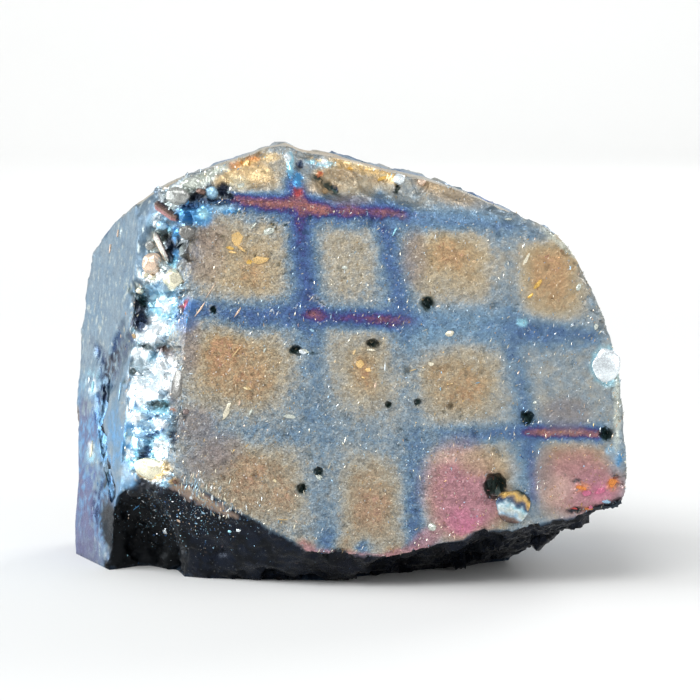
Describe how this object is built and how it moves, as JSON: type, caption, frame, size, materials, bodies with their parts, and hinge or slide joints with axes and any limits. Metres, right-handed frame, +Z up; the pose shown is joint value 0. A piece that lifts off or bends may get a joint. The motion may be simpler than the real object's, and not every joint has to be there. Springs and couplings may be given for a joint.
{
  "type": "aura quartz cluster",
  "caption": "Block of metal-coated aura quartz with two sawn faces, a broken corner, an undercut underside and short quartz points over the back. Stands on its flat base.",
  "frame": {"origin": "on the flat base, under the middle of the stone", "axes": "+Z up; the large sawn face looks along -Y; +X to the right as seen from the front"},
  "size_m": [0.0527, 0.037, 0.0405],
  "materials": {
    "coated_quartz": "thin metal film over quartz: granular and satin on the sawn front, tan and pink cells between steel-blue, purple and copper lines, glossy on broken faces"
  },
  "bodies": {
    "root": {"quartz_cluster": "coated_quartz"}
  },
  "joints": []
}
